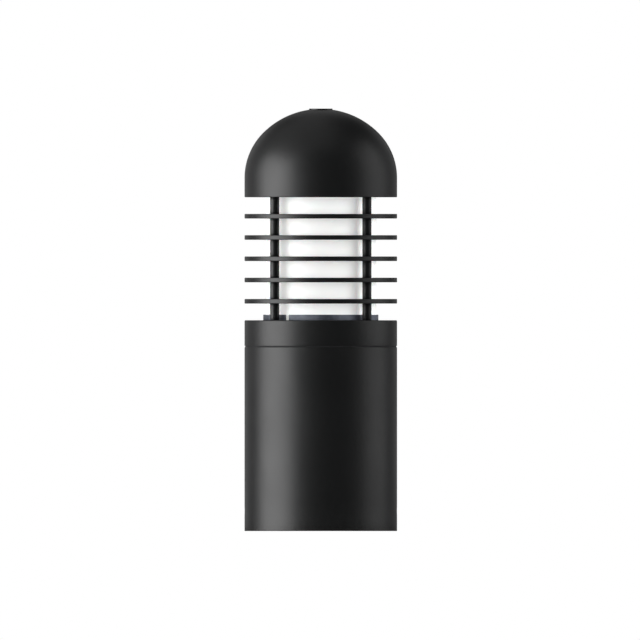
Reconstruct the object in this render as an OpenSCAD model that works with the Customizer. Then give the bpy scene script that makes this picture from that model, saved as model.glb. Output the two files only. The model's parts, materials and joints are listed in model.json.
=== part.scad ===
// Louvred bollard light with a domed cap: post, anchor, louvre cage, lens, lamp and wiring.
// The origin is the centre of the foot, on the ground, with +Z up and the front towards -Y.

/* [Overall] */
// Outer diameter shared by the post, collar, louvres and dome
body_d = 165; // [138:1:200]
// Height of the post tube above the ground
post_h = 199; // [165:1:1000]

/* [Post and base] */
// Wall of the post tube
post_wall = 4; // [3:0.5:6]
// Thickness of the anchor's foot plate
foot_t = 8; // [6:1:14]
// Height of the anchor ring's top above the ground
anchor_h = 36; // [34:1:44]
// Thickness of the anchor ring's wall
anchor_wall = 8; // [6:1:10]
// Distance from the anchor plate's rim in to its bolt circle
anchor_inset = 23.2; // [20:0.2:27]
// Radius of each anchor bolt hole
anchor_hole_r = 5.5; // [4.5:0.5:7]
// Radius of the hole that the supply cable comes up through
cable_hole_r = 25; // [15:1:32]
// Depth of the collar's spigot inside the post
spigot_h = 12; // [8:1:20]
// Thickness of the ring that the tie rods screw into
ring_t = 8; // [6:1:12]

/* [Collar and lens] */
// Height of the collar above the seam
collar_h = 28; // [26:1:40]
// Thickness of the collar's top deck
deck_t = 5; // [4:0.5:8]
// Wall of the collar
collar_wall = 4; // [3:0.5:6]
// Thickness of the rubber gasket in the seam
seam_t = 1; // [0.6:0.1:2]
// Wall of the opal lens tube
lens_wall = 3.5; // [2:0.5:5]
// Height of the split ring around the lens's foot
clamp_h = 6; // [4.5:0.5:9]
// Width of the gap in the split ring
clamp_gap = 4.4; // [2:0.2:8]

/* [Louvre cage] */
// Number of louvres
louvre_count = 5; // [4:1:7]
// Thickness of each louvre at its rim
louvre_t = 5; // [4:0.5:7]
// Width of each louvre from its rim to its inner edge
louvre_w = 18; // [15:0.5:22]
// Length of each spacer
spacer_h = 18; // [15:0.5:24]
// Outer diameter of each spacer
spacer_d = 10; // [9:0.5:12]
// Distance from the rim in to the tie rods
rod_inset = 12; // [10:0.5:14]
// Diameter of the tie rods
rod_d = 6; // [5:0.5:7]

/* [Dome] */
// Height of the dome's straight skirt
skirt_h = 21; // [18:1:40]
// How much larger the crown's radius is than the post's
crown_flat = 5.5; // [3:0.5:30]
// Distance from the axis to the centre of the shoulder's arc
shoulder_in = 13.5; // [8:0.5:30]
// Wall of the dome
dome_wall = 3.5; // [2.5:0.5:5]
// Thickness of the plate that the dome sits on
plate_t = 6; // [5:0.5:8]
// Diameter of the crown bolt's head
crown_bolt_d = 25.4; // [20:0.2:30]

/* [Gear] */
// Height of the gear tray
tray_h = 100; // [84:1:120]
// Width of the gear tray
tray_w = 70; // [60:1:84]
// Depth of the lamp pan below the collar's deck
pan_depth = 18; // [14:1:20]

/* [Hidden] */
$fn = 96;
// Clearances: between castings, a bolt in its hole, a thread in its tapped hole, and a snug seal
slip = 0.3;
bolt_slip = 0.3;
thread_slip = 0.05;
snug = 0.05;
running = 0.1;

// Radii
body_r = body_d / 2;
post_ri = body_r - post_wall;
spigot_ro = post_ri - slip;
spigot_ri = spigot_ro - 4;
rod_r = rod_d / 2;
rod_circle_r = body_r - rod_inset;
boss_r = min(7.5, spigot_ro - rod_circle_r - 0.2);
ring_ri = rod_circle_r - 8;
louvre_ri = body_r - louvre_w;
clamp_ro = louvre_ri - 2.2;
clamp_t = 1.5;
gasket_lip = 0.8;
lens_ro = clamp_ro - clamp_t - gasket_lip - 2 * snug;
lens_ri = lens_ro - lens_wall;
opening_r = lens_ri - 10.5;
crown_r = body_r + crown_flat;
shoulder_r = body_r - shoulder_in;
skirt_ri = body_r - dome_wall;
plate_r = skirt_ri - slip;
washer_r = spacer_d / 2 + 0.5;
ledge_ri = rod_circle_r + washer_r + slip;
anchor_ri = spigot_ro - anchor_wall;
anchor_circle_r = spigot_ro - anchor_inset;

// Heights
ring_top = post_h - spigot_h - 2;
ring_z = ring_top - ring_t;
collar_z = post_h + seam_t;
deck_z = collar_z + collar_h;
deck_under_z = deck_z - deck_t;
lens_z = deck_z + 1.5;
cage_h = louvre_count * louvre_t + (louvre_count + 1) * spacer_h;
dome_z = deck_z + cage_h;
plate_top_z = dome_z + plate_t;
groove_h = 3;
lens_top_z = dome_z + groove_h - 1.5;
ledge_z = plate_top_z + 1.5;
spring_z = dome_z + skirt_h;
dome_drop = sqrt(pow(crown_r - shoulder_r, 2) - pow(shoulder_in, 2));
dome_rise = crown_r - dome_drop;
apex_z = spring_z + dome_rise;

// Crown bolt and its pillar
bolt_r = 4;
crown_head_r = crown_bolt_d / 2;
crown_head_t = 3;
crown_seal_t = 1;
crown_top_z = apex_z + 0.3;
crown_seat_z = crown_top_z - crown_head_t - crown_seal_t;
crown_boss_z = crown_seat_z - 15;
pillar_af = 14;
pillar_top_z = crown_boss_z - 6;
crown_tip_z = pillar_top_z - 14;
clip_t = 1;
clip_z = crown_boss_z - 0.5 - clip_t;

// Lamp pan, lampholder and lamp
sheet_t = 1.5;
pan_ro = opening_r - 2;
pan_floor_z = deck_under_z - pan_depth;
holder_z = pan_floor_z + sheet_t;
holder_r = 20.5;
holder_h = 44;
holder_screw_x = 16.75;
cap_r = 13;
cap_z = holder_z + 22;
cap_h = 23;
thread_pitch = 3.62;
thread_depth = 0.5;
globe_r = 30;
globe_z = cap_z + 70;

// Gear tray and what it carries
tray_y = ring_ri - 6.5;
tray_screw_y = ring_ri + 6;
block_w = 52;
block_d = 24;
block_h = 22;
block_z = ring_z - tray_h * 0.56;
stud_x = tray_w / 2 - 11;
stud_z = ring_z - tray_h * 0.18;
clamp_bar_z = ring_z - tray_h * 0.84;
tag_t = 2;
pan_tag_t = 1;
earth_screw_y = 7;

// Fixings
screw_angles = [0, 90, 180];
set_screw_z = 22;
set_screw_l = 12;
pan_screw_angles = [30, 150, 270];
pan_screw_r = opening_r + 4;
m4_r = 2;
m4_head_r = 3.6;
m4_head_h = 2.2;
weld_leg = 3;

powder_black = "#26282a";
zinc = "#b9bcc0";
steel = "#8f949a";
rubber_black = "#17181a";
silicone_white = "#e9ebea";
opal = "#f4f5f4";
ceramic_white = "#eceae4";
brass = "#c9a44c";

// ---- Helpers ----

// Points along an arc in the plane of a turned outline
function arc(x, z, r, from, to, steps = 8) =
    [for (i = [0:steps]) let (a = from + (to - from) * i / steps) [x + r * cos(a), z + r * sin(a)]];

// A solid turned about Z from points of [radius, height]
module turned(points) rotate_extrude() polygon(points);

module ring(ro, ri, h, z = 0) {
    translate([0, 0, z]) difference() {
        cylinder(r = ro, h = h);
        translate([0, 0, -1]) cylinder(r = ri, h = h + 2);
    }
}

module at_rods() for (a = [45:90:315]) rotate(a) translate([rod_circle_r, 0, 0]) children();

// A straight hole along Z, with room past both of its ends
module hole(r, z, h) translate([0, 0, z - 1]) cylinder(r = r, h = h + 2);

// A cylinder lying along the local X axis, from its inner to its outer end
module radial(r, from, to) translate([from, 0, 0]) rotate([0, 90, 0]) cylinder(r = r, h = to - from);

// A machine screw along +Z: its head lies below z = 0 and its shank above it
module screw(r, head_r, head_h, length, socket_af = 0) {
    difference() {
        union() {
            translate([0, 0, -head_h]) cylinder(r = head_r, h = head_h);
            translate([0, 0, -head_h / 2]) cylinder(r = r, h = length + head_h / 2);
        }
        if (socket_af > 0) translate([0, 0, -head_h - 1])
            cylinder(r = socket_af / sqrt(3), h = head_h * 0.6 + 1, $fn = 6);
        if (socket_af == 0) translate([-head_r - 1, -0.4, -head_h - 1]) cube([2 * head_r + 2, 0.8, 1.8]);
    }
}

module hex_nut(af, h, bore_r) difference() {
    cylinder(r = af / sqrt(3), h = h, $fn = 6);
    translate([0, 0, -1]) cylinder(r = bore_r, h = h + 2);
}

// A lead in the plane X = x, from a up to b, straight for a while at both of its ends
function bend(a, b, pull, t) = let (
    p1 = a + [0, pull],
    p2 = b - [0, pull],
    s = 1 - t
) s * s * s * a + 3 * s * s * t * p1 + 3 * s * t * t * p2 + t * t * t * b;

module lead(x, a, b, tail_a, tail_b, pull, r, steps = 22, sides = 10) {
    from = a + [0, tail_a];
    to = b - [0, tail_b];
    spots = concat([a], [for (i = [0:steps]) bend(from, to, pull, i / steps)], [b]);
    rings = steps + 2;
    function along(i) = let (d = spots[min(i + 1, rings)] - spots[max(i - 1, 0)]) d / norm(d);
    points = [for (i = [0:rings], k = [0:sides - 1])
        let (d = i <= 1 || i >= rings - 1 ? [0, 1] : along(i), c = 360 * k / sides)
        [x + r * cos(c), spots[i][0] + r * sin(c) * d[1], spots[i][1] - r * sin(c) * d[0]]];
    faces = concat(
        [[for (k = [0:sides - 1]) k]],
        [for (i = [0:rings - 1], k = [0:sides - 1]) let (n = (k + 1) % sides)
            [i * sides + k, (i + 1) * sides + k, (i + 1) * sides + n, i * sides + n]],
        [[for (k = [sides - 1:-1:0]) rings * sides + k]]
    );
    polyhedron(points, faces, convexity = 4);
}

// ---- Post and base ----

module post_tube() {
    edge = 0.6;
    color(powder_black) difference() {
        turned([
            [post_ri, 0], [body_r - edge, 0], [body_r, edge],
            [body_r, post_h - edge], [body_r - edge, post_h], [post_ri, post_h]
        ]);
        for (a = screw_angles) rotate(a) translate([0, 0, set_screw_z])
            radial(4 + bolt_slip, post_ri - 1, body_r + 1);
    }
}

module anchor_plate() {
    edge = 1;
    color(steel) difference() {
        turned([
            [0, 0], [spigot_ro - edge, 0], [spigot_ro, edge], [spigot_ro, foot_t - edge],
            [spigot_ro - edge, foot_t], [0, foot_t]
        ]);
        hole(cable_hole_r, 0, foot_t);
        for (a = [45:90:315]) rotate(a) translate([anchor_circle_r, 0, 0]) hole(anchor_hole_r, 0, foot_t);
    }
}

module anchor_ring() {
    edge = 1.5;
    color(steel) difference() {
        turned([
            [anchor_ri, foot_t], [spigot_ro - edge, foot_t], [spigot_ro, foot_t + edge],
            [spigot_ro, anchor_h - edge], [spigot_ro - edge, anchor_h], [anchor_ri, anchor_h]
        ]);
        for (a = screw_angles) rotate(a) translate([0, 0, set_screw_z])
            radial(4 + thread_slip, anchor_ri - 1, spigot_ro + 1);
    }
}

module anchor_weld() {
    outer = anchor_ri - snug;
    color(steel) turned([[outer, foot_t], [outer, foot_t + weld_leg], [outer - weld_leg, foot_t]]);
}

module base_set_screws() {
    outer = body_r - 0.4;
    color(zinc) for (a = screw_angles) rotate(a) translate([0, 0, set_screw_z]) difference() {
        radial(4, outer - set_screw_l, outer);
        translate([outer - 4, 0, 0]) rotate([0, 90, 0]) cylinder(r = 4 / sqrt(3), h = 5, $fn = 6);
    }
}

module post_ring() {
    color(steel) difference() {
        ring(post_ri - snug, ring_ri, ring_t, ring_z);
        at_rods() hole(rod_r + thread_slip, ring_z, ring_t);
        for (x = [-12, 12]) translate([x, tray_screw_y, 0]) hole(m4_r + thread_slip, ring_z, ring_t);
    }
}

module post_ring_weld() {
    outer = post_ri - snug;
    color(steel) turned([[outer, ring_z], [outer - weld_leg, ring_z], [outer, ring_z - weld_leg]]);
}

module seam_gasket() {
    color(rubber_black) ring(body_r - 0.8, spigot_ro + slip, seam_t, post_h);
}

// ---- Collar and lens ----

module collar() {
    edge = 1.2;
    spigot_z = post_h - spigot_h;
    shoulder_top = collar_z + 4;
    color(powder_black) difference() {
        union() {
            turned(concat(
                [[spigot_ri, spigot_z], [spigot_ro - 1, spigot_z], [spigot_ro, spigot_z + 1]],
                [[spigot_ro, collar_z], [body_r - 0.5, collar_z], [body_r, collar_z + 0.5]],
                arc(body_r - edge, deck_z - edge, edge, 0, 90, 5),
                [[opening_r, deck_z], [opening_r, deck_under_z], [body_r - collar_wall, deck_under_z]],
                [[body_r - collar_wall, shoulder_top], [spigot_ri, shoulder_top]]
            ));
            at_rods() translate([0, 0, spigot_z]) cylinder(r = boss_r, h = deck_z - spigot_z - 1);
        }
        at_rods() hole(rod_r + bolt_slip, spigot_z, deck_z - spigot_z);
        for (a = pan_screw_angles) rotate(a) translate([pan_screw_r, 0, deck_under_z - 1])
            cylinder(r = m4_r + thread_slip, h = deck_t);
    }
}

module lens_clamp_ring() {
    // The gap faces front left, where the ring's ends can be reached between two tie rods.
    gap_angle = 234;
    color(steel) difference() {
        turned(concat(
            [[clamp_ro - clamp_t, deck_z], [clamp_ro, deck_z]],
            arc(clamp_ro - 0.5, deck_z + clamp_h - 0.5, 0.5, 0, 90, 4),
            [[clamp_ro - clamp_t, deck_z + clamp_h]]
        ));
        rotate(gap_angle) translate([clamp_ro - 5, -clamp_gap / 2, deck_z - 1])
            cube([10, clamp_gap, clamp_h + 2]);
    }
}

module lens_gasket_lower() {
    lip_top = deck_z + clamp_h - 0.5;
    color(silicone_white) turned([
        [lens_ri - 1, deck_z], [lens_ro + snug + gasket_lip, deck_z], [lens_ro + snug + gasket_lip, lip_top],
        [lens_ro + snug, lip_top], [lens_ro + snug, lens_z], [lens_ri - 1, lens_z]
    ]);
}

module lens_tube() {
    color(opal) ring(lens_ro, lens_ri, lens_top_z - lens_z, lens_z);
}

module lens_gasket_upper() {
    groove_top = dome_z + groove_h;
    color(silicone_white) turned([
        [lens_ri - 1, groove_top], [lens_ro + snug + gasket_lip, groove_top],
        [lens_ro + snug + gasket_lip, dome_z], [lens_ro + snug, dome_z],
        [lens_ro + snug, lens_top_z], [lens_ri - 1, lens_top_z]
    ]);
}

// ---- Louvre cage ----

module louvre(i) {
    z = deck_z + i * spacer_h + (i - 1) * louvre_t;
    edge = 0.8;
    rim_w = 3.5;
    web_t = 2.8;
    lip_w = 2;
    web_z = z + louvre_t - web_t;
    color(powder_black) difference() {
        union() {
            turned(concat(
                [[louvre_ri, z], [louvre_ri + lip_w, z], [louvre_ri + lip_w, web_z]],
                [[body_r - rim_w, web_z], [body_r - rim_w, z]],
                arc(body_r - edge, z + edge, edge, 270, 360, 4),
                arc(body_r - edge, z + louvre_t - edge, edge, 0, 90, 4),
                [[louvre_ri, z + louvre_t]]
            ));
            at_rods() translate([0, 0, z]) cylinder(r = spacer_d / 2 + 0.8, h = louvre_t - 1);
        }
        at_rods() hole(rod_r + bolt_slip, z, louvre_t);
    }
}

module spacers(i) {
    z = deck_z + (i - 1) * (spacer_h + louvre_t);
    color(powder_black) at_rods() ring(spacer_d / 2, rod_r + bolt_slip, spacer_h, z);
}

module tie_rods() {
    top = plate_top_z + 1.2 + 5 + 2.5;
    color(zinc) at_rods() translate([0, 0, ring_z]) cylinder(r = rod_r, h = top - ring_z);
}

module tie_rod_washers() color(zinc) at_rods() ring(washer_r, rod_r + bolt_slip, 1.2, plate_top_z);

// A flat of each nut faces outwards, to clear the dome's ledge.
module tie_rod_nuts() color(zinc) at_rods() translate([0, 0, plate_top_z + 1.2]) rotate(30)
    hex_nut(10, 5, rod_r + thread_slip);

module upper_plate() {
    color(powder_black) difference() {
        translate([0, 0, dome_z]) cylinder(r = plate_r, h = plate_t);
        ring(lens_ro + gasket_lip + 2 * snug, lens_ri - 1 - snug, groove_h + 1, dome_z - 1);
        at_rods() hole(rod_r + bolt_slip, dome_z, plate_t);
        hole(bolt_r + bolt_slip, dome_z, plate_t);
    }
}

module upper_reflector() color(opal) ring(lens_ri - 1.5, bolt_r + bolt_slip, 1, dome_z - 1);

// ---- Dome ----

module crown_pillar() {
    h = pillar_top_z - plate_top_z;
    color(zinc) translate([0, 0, plate_top_z]) difference() {
        cylinder(r = pillar_af / sqrt(3), h = h, $fn = 6);
        translate([0, 0, -1]) cylinder(r = bolt_r + thread_slip, h = 17);
        translate([0, 0, h - 20]) cylinder(r = bolt_r + running, h = 21);
    }
}

module pillar_screw() color(zinc) translate([0, 0, dome_z - 1]) screw(bolt_r, 6.5, 4, plate_t + 13, 5);

// The dome's outline from the skirt to the axis, a wall's thickness in from the outside
function dome_curve(inset) = let (
    turn = atan2(dome_drop, shoulder_in)
) concat(
    arc(shoulder_in, spring_z, shoulder_r - inset, 0, turn, 20),
    arc(0, spring_z - dome_drop, crown_r - inset, turn, 90, 18)
);

module dome_cap() {
    edge = 1;
    inner = dome_curve(dome_wall);
    color(powder_black) difference() {
        union() {
            turned(concat(
                [[skirt_ri, dome_z]],
                arc(body_r - edge, dome_z + edge, edge, 270, 360, 5),
                dome_curve(0),
                [for (i = [len(inner) - 1:-1:0]) inner[i]],
                [[skirt_ri, ledge_z + 8], [ledge_ri, ledge_z + 4], [ledge_ri, ledge_z], [skirt_ri, ledge_z]]
            ));
            translate([0, 0, crown_boss_z]) cylinder(r = crown_head_r + 4.3, h = crown_seat_z - crown_boss_z);
        }
        translate([0, 0, crown_seat_z]) cylinder(r = crown_head_r + slip, h = 20);
        hole(bolt_r + running, crown_boss_z, crown_seat_z - crown_boss_z);
    }
}

module dome_gasket() color(rubber_black) ring(plate_r, ledge_ri, ledge_z - plate_top_z, plate_top_z);

module crown_bolt() {
    chamfer = 0.5;
    pin_hole_x = 6.5;
    color(powder_black) difference() {
        turned([
            [0, crown_tip_z], [bolt_r - 1, crown_tip_z], [bolt_r, crown_tip_z + 1],
            [bolt_r, clip_z - 0.1], [bolt_r - 0.7, clip_z - 0.1],
            [bolt_r - 0.7, clip_z + clip_t + 0.1], [bolt_r, clip_z + clip_t + 0.1],
            [bolt_r, crown_top_z - crown_head_t], [crown_head_r, crown_top_z - crown_head_t],
            [crown_head_r, crown_top_z - chamfer], [crown_head_r - chamfer, crown_top_z], [0, crown_top_z]
        ]);
        for (x = [-pin_hole_x, pin_hole_x]) translate([x, 0, crown_top_z - 2]) cylinder(r = 1.6, h = 3);
    }
}

module crown_seal() color(rubber_black)
    ring(crown_head_r - 0.2, bolt_r + bolt_slip, crown_seal_t, crown_seat_z);

module crown_clip() {
    color(zinc) difference() {
        ring(7, bolt_r - 0.65, clip_t, clip_z);
        translate([0, -2.2, clip_z - 1]) cube([10, 4.4, clip_t + 2]);
    }
}

// ---- Lamp ----

module lamp_pan() {
    flange_ro = opening_r + 8;
    color(opal) difference() {
        turned([
            [0, pan_floor_z], [pan_ro, pan_floor_z], [pan_ro, deck_under_z - sheet_t],
            [flange_ro, deck_under_z - sheet_t], [flange_ro, deck_under_z],
            [pan_ro - sheet_t, deck_under_z], [pan_ro - sheet_t, holder_z], [0, holder_z]
        ]);
        hole(6, pan_floor_z, sheet_t);
        translate([stud_x, earth_screw_y, 0]) hole(m4_r + thread_slip, pan_floor_z, sheet_t);
        for (x = [-holder_screw_x, holder_screw_x]) translate([x, 0, 0])
            hole(m4_r + bolt_slip, pan_floor_z, sheet_t);
        for (a = pan_screw_angles) rotate(a) translate([pan_screw_r, 0, 0])
            hole(m4_r + bolt_slip, deck_under_z - sheet_t, sheet_t);
    }
}

module pan_screws() color(zinc) for (a = pan_screw_angles) rotate(a)
    translate([pan_screw_r, 0, deck_under_z - sheet_t])
        screw(m4_r, m4_head_r, m4_head_h, sheet_t + deck_t - 1.5);

module lead_grommet() {
    lip_r = 7.5;
    lead_hole_r = 3.3;
    color(rubber_black) turned([
        [lead_hole_r, pan_floor_z - 1.5], [lip_r, pan_floor_z - 1.5], [lip_r, pan_floor_z],
        [6 - 0.05, pan_floor_z], [6 - 0.05, holder_z], [lip_r, holder_z],
        [lip_r, holder_z + 1.5], [lead_hole_r, holder_z + 1.5]
    ]);
}

module lampholder() {
    chamber_r = 12.5;
    chamber_h = 10;
    floor_top = 13;
    bore_r = 15;
    color(ceramic_white) difference() {
        translate([0, 0, holder_z]) turned(concat(
            [[chamber_r, 0], [holder_r - 1, 0], [holder_r, 1], [holder_r, 14], [holder_r - 2.5, 17]],
            [[holder_r - 2.5, 34], [holder_r - 1, 36]],
            arc(holder_r - 2, holder_h - 1, 1, 0, 90, 4),
            [[bore_r, holder_h], [bore_r, floor_top], [4, floor_top], [4, chamber_h], [chamber_r, chamber_h]]
        ));
        for (x = [-holder_screw_x, holder_screw_x]) translate([x, 0, holder_z - 1])
            cylinder(r = m4_r + thread_slip, h = 11);
    }
}

// The rounded thread of a screw cap, as rings, between two heights
function thread_outline(r, z, turns, steps = 8) = [for (i = [0:turns * steps])
    [r - thread_depth * (1 - cos(360 * i / steps)) / 2, z + thread_pitch * i / steps]];

module holder_shell() {
    turns = 5;
    z = cap_z + 1;
    outline = thread_outline(cap_r + slip, z, turns);
    outer_r = 14.6;
    color(brass) union() {
        turned(concat([for (i = [len(outline) - 1:-1:0]) outline[i]],
            [[outer_r, z], [outer_r, z + turns * thread_pitch]]));
        // Its feet reach down to the ceramic floor, clear of the lamp's tip.
        ring(outer_r, cap_r + slip, z - holder_z - 13 + 0.5, holder_z + 13);
    }
}

module holder_contact() {
    tip_z = cap_z - 5.5;
    color(brass) union() {
        translate([0, 0, holder_z + 13]) cylinder(r = 6, h = 1);
        translate([-2.5, -2.5, holder_z + 13.5]) cube([5, 5, tip_z - holder_z - 13.5]);
    }
}

module holder_screws() color(zinc) for (x = [-holder_screw_x, holder_screw_x])
    translate([x, 0, pan_floor_z]) screw(m4_r, m4_head_r, m4_head_h, 9);

module lamp_cap() {
    turns = 5;
    z = cap_z + 1;
    outline = thread_outline(cap_r, z, turns);
    wall = 0.9;
    color(zinc) turned(concat(
        [[cap_r - thread_depth - wall, cap_z], [cap_r - 0.6, cap_z], [cap_r, cap_z + 0.6]],
        outline,
        [[cap_r, cap_z + cap_h], [cap_r - thread_depth - wall, cap_z + cap_h]]
    ));
}

module lamp_insulator() color(rubber_black) translate([0, 0, cap_z - 3])
    cylinder(r1 = 5.5, r2 = cap_r - thread_depth - 0.9 - 0.05, h = 4);

module lamp_contact() color(brass) translate([0, 0, cap_z - 5.2]) cylinder(r1 = 3.5, r2 = 4.5, h = 2.2);

module lamp_housing() {
    neck_r = cap_r - thread_depth - 0.95;
    top_z = globe_z - 10;
    rim_r = sqrt(pow(globe_r, 2) - pow(top_z - globe_z, 2));
    color(ceramic_white) turned([
        [0, cap_z + 1.2], [neck_r, cap_z + 1.2], [neck_r, cap_z + cap_h], [cap_r + 0.8, cap_z + cap_h],
        [cap_r + 1.5, cap_z + cap_h + 4], [rim_r - 4, top_z - 8], [rim_r, top_z], [0, top_z]
    ]);
}

module lamp_globe() {
    color(opal) intersection() {
        translate([0, 0, globe_z]) difference() {
            sphere(r = globe_r);
            sphere(r = globe_r - 1.5);
        }
        translate([0, 0, globe_z - 10]) cylinder(r = globe_r + 1, h = 2 * globe_r);
    }
}

// ---- Gear tray and wiring ----

module gear_tray() {
    flange_w = 38;
    // The flange stops short of the weld that runs round under the ring.
    flange_y = sqrt(pow(post_ri - weld_leg - 1, 2) - pow(flange_w / 2, 2));
    color(zinc) difference() {
        union() {
            translate([-tray_w / 2, tray_y, ring_z - tray_h]) cube([tray_w, sheet_t, tray_h]);
            translate([-flange_w / 2, tray_y, ring_z - sheet_t]) cube([flange_w, flange_y - tray_y, sheet_t]);
        }
        for (x = [-12, 12]) translate([x, tray_screw_y, 0]) hole(m4_r + bolt_slip, ring_z - sheet_t, sheet_t);
        for (spot = tray_holes()) translate([spot[0], tray_y - 1, spot[1]]) rotate([-90, 0, 0])
            cylinder(r = spot[2], h = sheet_t + 2);
    }
}

// [x, z, radius] of the holes through the gear tray's plate
function tray_holes() = concat(
    [for (x = [-1, 1]) [x * (block_w / 2 - 4), block_z + block_h / 2, m4_r + thread_slip]],
    [[stud_x, stud_z, 3 + bolt_slip]],
    [for (x = [-1, 1]) [x * 14 - 10, clamp_bar_z, m4_r + thread_slip]]
);

module tray_screws() color(zinc) for (x = [-12, 12])
    translate([x, tray_screw_y, ring_z - sheet_t]) screw(m4_r, m4_head_r, m4_head_h, sheet_t + ring_t - 2);

// Along -Y from the tray's face, which is where its parts are fixed
module on_tray(x, z) translate([x, tray_y, z]) rotate([90, 0, 0]) children();

module terminal_block() {
    pole_pitch = 13;
    color(ceramic_white) difference() {
        on_tray(0, block_z) union() {
            translate([-block_w / 2, 0, 0]) cube([block_w, block_h, 6]);
            translate([-block_w / 2 + 8, 0, 0]) cube([block_w - 16, block_h, block_d]);
        }
        for (p = [-1:1]) translate([p * pole_pitch, tray_y - block_d / 2, 0]) {
            translate([0, 0, block_z - 1]) cylinder(r = p == 0 ? 3.2 : 2.6, h = 8);
            translate([0, 0, block_z + block_h - 7]) cylinder(r = p == 0 ? 3.2 : 2.6, h = 8);
            for (z = [6, block_h - 6]) translate([0, 0, block_z + z]) rotate([90, 0, 0])
                cylinder(r = 2.2 + thread_slip, h = block_d);
        }
        for (x = [-1, 1]) on_tray(x * (block_w / 2 - 4), block_z + block_h / 2)
            translate([0, 0, -1]) cylinder(r = m4_r + bolt_slip, h = 8);
    }
}

module terminal_screws() {
    pole_pitch = 13;
    color(brass) for (p = [-1:1], z = [6, block_h - 6]) on_tray(p * pole_pitch, block_z + z)
        translate([0, 0, block_d / 2 + 3.5]) difference() {
            cylinder(r = 2.2, h = block_d / 2 - 4.5);
            translate([-3, -0.4, block_d / 2 - 5.5]) cube([6, 0.8, 2]);
        }
}

module block_screws() color(zinc) for (x = [-1, 1]) on_tray(x * (block_w / 2 - 4), block_z + block_h / 2)
    translate([0, 0, 6]) rotate([180, 0, 0]) screw(m4_r, m4_head_r, m4_head_h, 6 + sheet_t);

module cable_clamp() {
    bar_w = 40;
    cable_r = 6;
    color(zinc) on_tray(-10, clamp_bar_z) difference() {
        union() {
            translate([-bar_w / 2, -6, 0]) cube([bar_w, 12, sheet_t]);
            rotate([90, 0, 0]) translate([0, 0, -6]) cylinder(r = cable_r + sheet_t, h = 12);
        }
        rotate([90, 0, 0]) translate([0, 0, -7]) cylinder(r = cable_r, h = 14);
        translate([-bar_w, -10, -bar_w]) cube([2 * bar_w, 20, bar_w]);
        for (x = [-14, 14]) translate([x, 0, 0]) hole(m4_r + bolt_slip, 0, sheet_t);
    }
}

module cable_clamp_screws() color(zinc) for (x = [-14, 14]) on_tray(x - 10, clamp_bar_z)
    translate([0, 0, sheet_t]) rotate([180, 0, 0]) screw(m4_r, m4_head_r, m4_head_h, 2 * sheet_t + 2);

module earth_stud() color(brass) on_tray(stud_x, stud_z)
    translate([0, 0, -sheet_t - 5]) cylinder(r = 3, h = 28);

module earth_nuts() color(brass) on_tray(stud_x, stud_z) {
    translate([0, 0, -sheet_t - 4]) hex_nut(10, 4, 3 + thread_slip);
    hex_nut(10, 4, 3 + thread_slip);
    translate([0, 0, 4 + tag_t]) hex_nut(10, 4, 3 + thread_slip);
}

module pan_earth_screw() color(brass) translate([stud_x, earth_screw_y, pan_floor_z - pan_tag_t])
    screw(m4_r, m4_head_r, m4_head_h, pan_tag_t + sheet_t + 2);

module lamp_lead() {
    start = [tray_y - block_d / 2, block_z + block_h - 5];
    end = [0, holder_z + 8];
    color("#d9d6cf") lead(0, start, end, 6, 12, 20, 3);
}

// Its ring tag is on the stud, and its other tag is screwed flat under the pan.
module earth_lead() {
    lead_r = 1.4;
    start = [tray_y - 4 - tag_t / 2, stud_z + 5.4];
    end = [0, pan_floor_z - pan_tag_t / 2];
    color("#5f9a2f") union() {
        lead(stud_x, start, end, 3, 2, 14, lead_r);
        on_tray(stud_x, stud_z) ring(6.5, 3 + thread_slip, tag_t, 4);
        translate([stud_x, 0, pan_floor_z - pan_tag_t]) difference() {
            union() {
                translate([0, earth_screw_y, 0]) cylinder(r = 4.2, h = pan_tag_t);
                translate([-3, -3, 0]) cube([6, earth_screw_y + 3, pan_tag_t]);
            }
            translate([0, earth_screw_y, 0]) hole(m4_r + bolt_slip, 0, pan_tag_t);
        }
    }
}

post_tube();
anchor_plate();
anchor_ring();
anchor_weld();
base_set_screws();
post_ring();
post_ring_weld();
seam_gasket();
collar();
lens_clamp_ring();
lens_gasket_lower();
lens_tube();
lens_gasket_upper();
for (i = [1:louvre_count]) louvre(i);
for (i = [1:louvre_count + 1]) spacers(i);
tie_rods();
tie_rod_washers();
tie_rod_nuts();
upper_plate();
upper_reflector();
crown_pillar();
pillar_screw();
dome_cap();
dome_gasket();
crown_bolt();
crown_seal();
crown_clip();
lamp_pan();
pan_screws();
lead_grommet();
lampholder();
holder_shell();
holder_contact();
holder_screws();
lamp_cap();
lamp_insulator();
lamp_contact();
lamp_housing();
lamp_globe();
gear_tray();
tray_screws();
terminal_block();
terminal_screws();
block_screws();
cable_clamp();
cable_clamp_screws();
earth_stud();
earth_nuts();
pan_earth_screw();
lamp_lead();
earth_lead();
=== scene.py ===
import json
import math

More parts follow.
